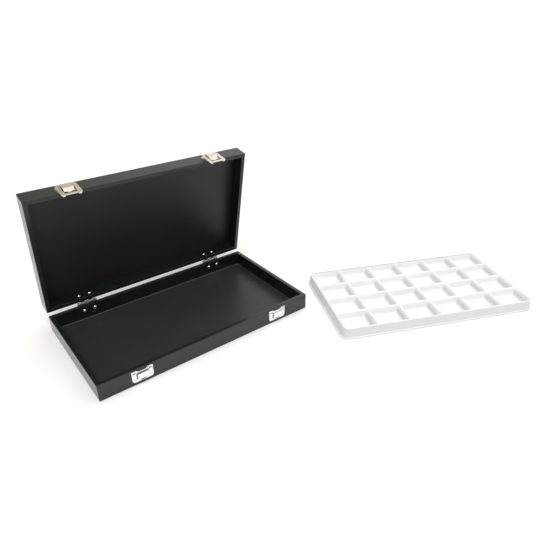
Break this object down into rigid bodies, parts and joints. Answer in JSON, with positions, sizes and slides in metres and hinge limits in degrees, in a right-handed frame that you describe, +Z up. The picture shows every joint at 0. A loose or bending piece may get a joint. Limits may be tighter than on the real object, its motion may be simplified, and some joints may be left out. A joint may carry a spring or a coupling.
{
  "type": "watercolor pan set",
  "caption": "Shallow hinged case with two snap latches, standing open, with a loose white moulded tray whose open wells hold the paints.",
  "frame": {"origin": "middle of the case's underside, on the surface that it stands on", "axes": "+X along the case towards its right end, seen from the latch side; +Y towards the hinges; +Z up"},
  "size_m": [0.7622, 0.4895, 0.2459],
  "materials": {
    "fibreboard": "raw, hidden under the covering",
    "hardboard": "raw, hidden under the coverings",
    "leatherette": "fine-grained satin",
    "floor_lining": "smooth satin",
    "lid_lining": "smooth satin",
    "hinge_steel": "nickel plated",
    "bright_nickel": "polished nickel plate",
    "warm_nickel": "polished nickel plate, warm",
    "tray_plastic": "vacuum-formed, satin gloss"
  },
  "bodies": {
    "case_base": {"base_front_rail": "fibreboard", "base_rear_rail": "fibreboard", "base_left_rail": "fibreboard", "base_right_rail": "fibreboard", "base_bottom_panel": "hardboard", "base_bottom_cover": "leatherette", "base_covering": "leatherette", "base_floor_lining": "floor_lining", "left_hinge_base_leaf": "hinge_steel", "right_hinge_base_leaf": "hinge_steel", "left_hinge_pin": "hinge_steel", "right_hinge_pin": "hinge_steel", "base_hinge_rivets": "bright_nickel", "left_catch": "bright_nickel", "right_catch": "bright_nickel", "catch_pins": "bright_nickel"},
    "lid": {"lid_front_rail": "fibreboard", "lid_rear_rail": "fibreboard", "lid_left_rail": "fibreboard", "lid_right_rail": "fibreboard", "lid_top_panel": "hardboard", "lid_covering": "leatherette", "lid_lining": "lid_lining", "left_hinge_lid_leaf": "hinge_steel", "right_hinge_lid_leaf": "hinge_steel", "lid_hinge_rivets": "bright_nickel", "left_latch_plate": "warm_nickel", "right_latch_plate": "warm_nickel", "latch_plate_pins": "bright_nickel"},
    "hasp_left": {"left_hasp": "warm_nickel"},
    "hasp_right": {"right_hasp": "warm_nickel"},
    "tray": {"tray": "tray_plastic"}
  },
  "joints": [
    {"name": "lid_hinge", "type": "hinge", "parent": "case_base", "child": "lid", "pos_m": [0, 0.1084, 0.02765], "axis": [-1, 0, 0], "range_deg": [-79, 100]},
    {"name": "hasp_left_pivot", "type": "hinge", "parent": "lid", "child": "hasp_left", "pos_m": [-0.122, 0.082, 0.24389], "axis": [-1, 0, 0], "range_deg": [0, 100]},
    {"name": "hasp_right_pivot", "type": "hinge", "parent": "lid", "child": "hasp_right", "pos_m": [0.122, 0.082, 0.24389], "axis": [-1, 0, 0], "range_deg": [0, 100]},
    {"name": "tray_lift", "type": "slide", "parent": "case_base", "child": "tray", "axis": [0, 0, 1], "range_m": [0, 0.1]}
  ]
}
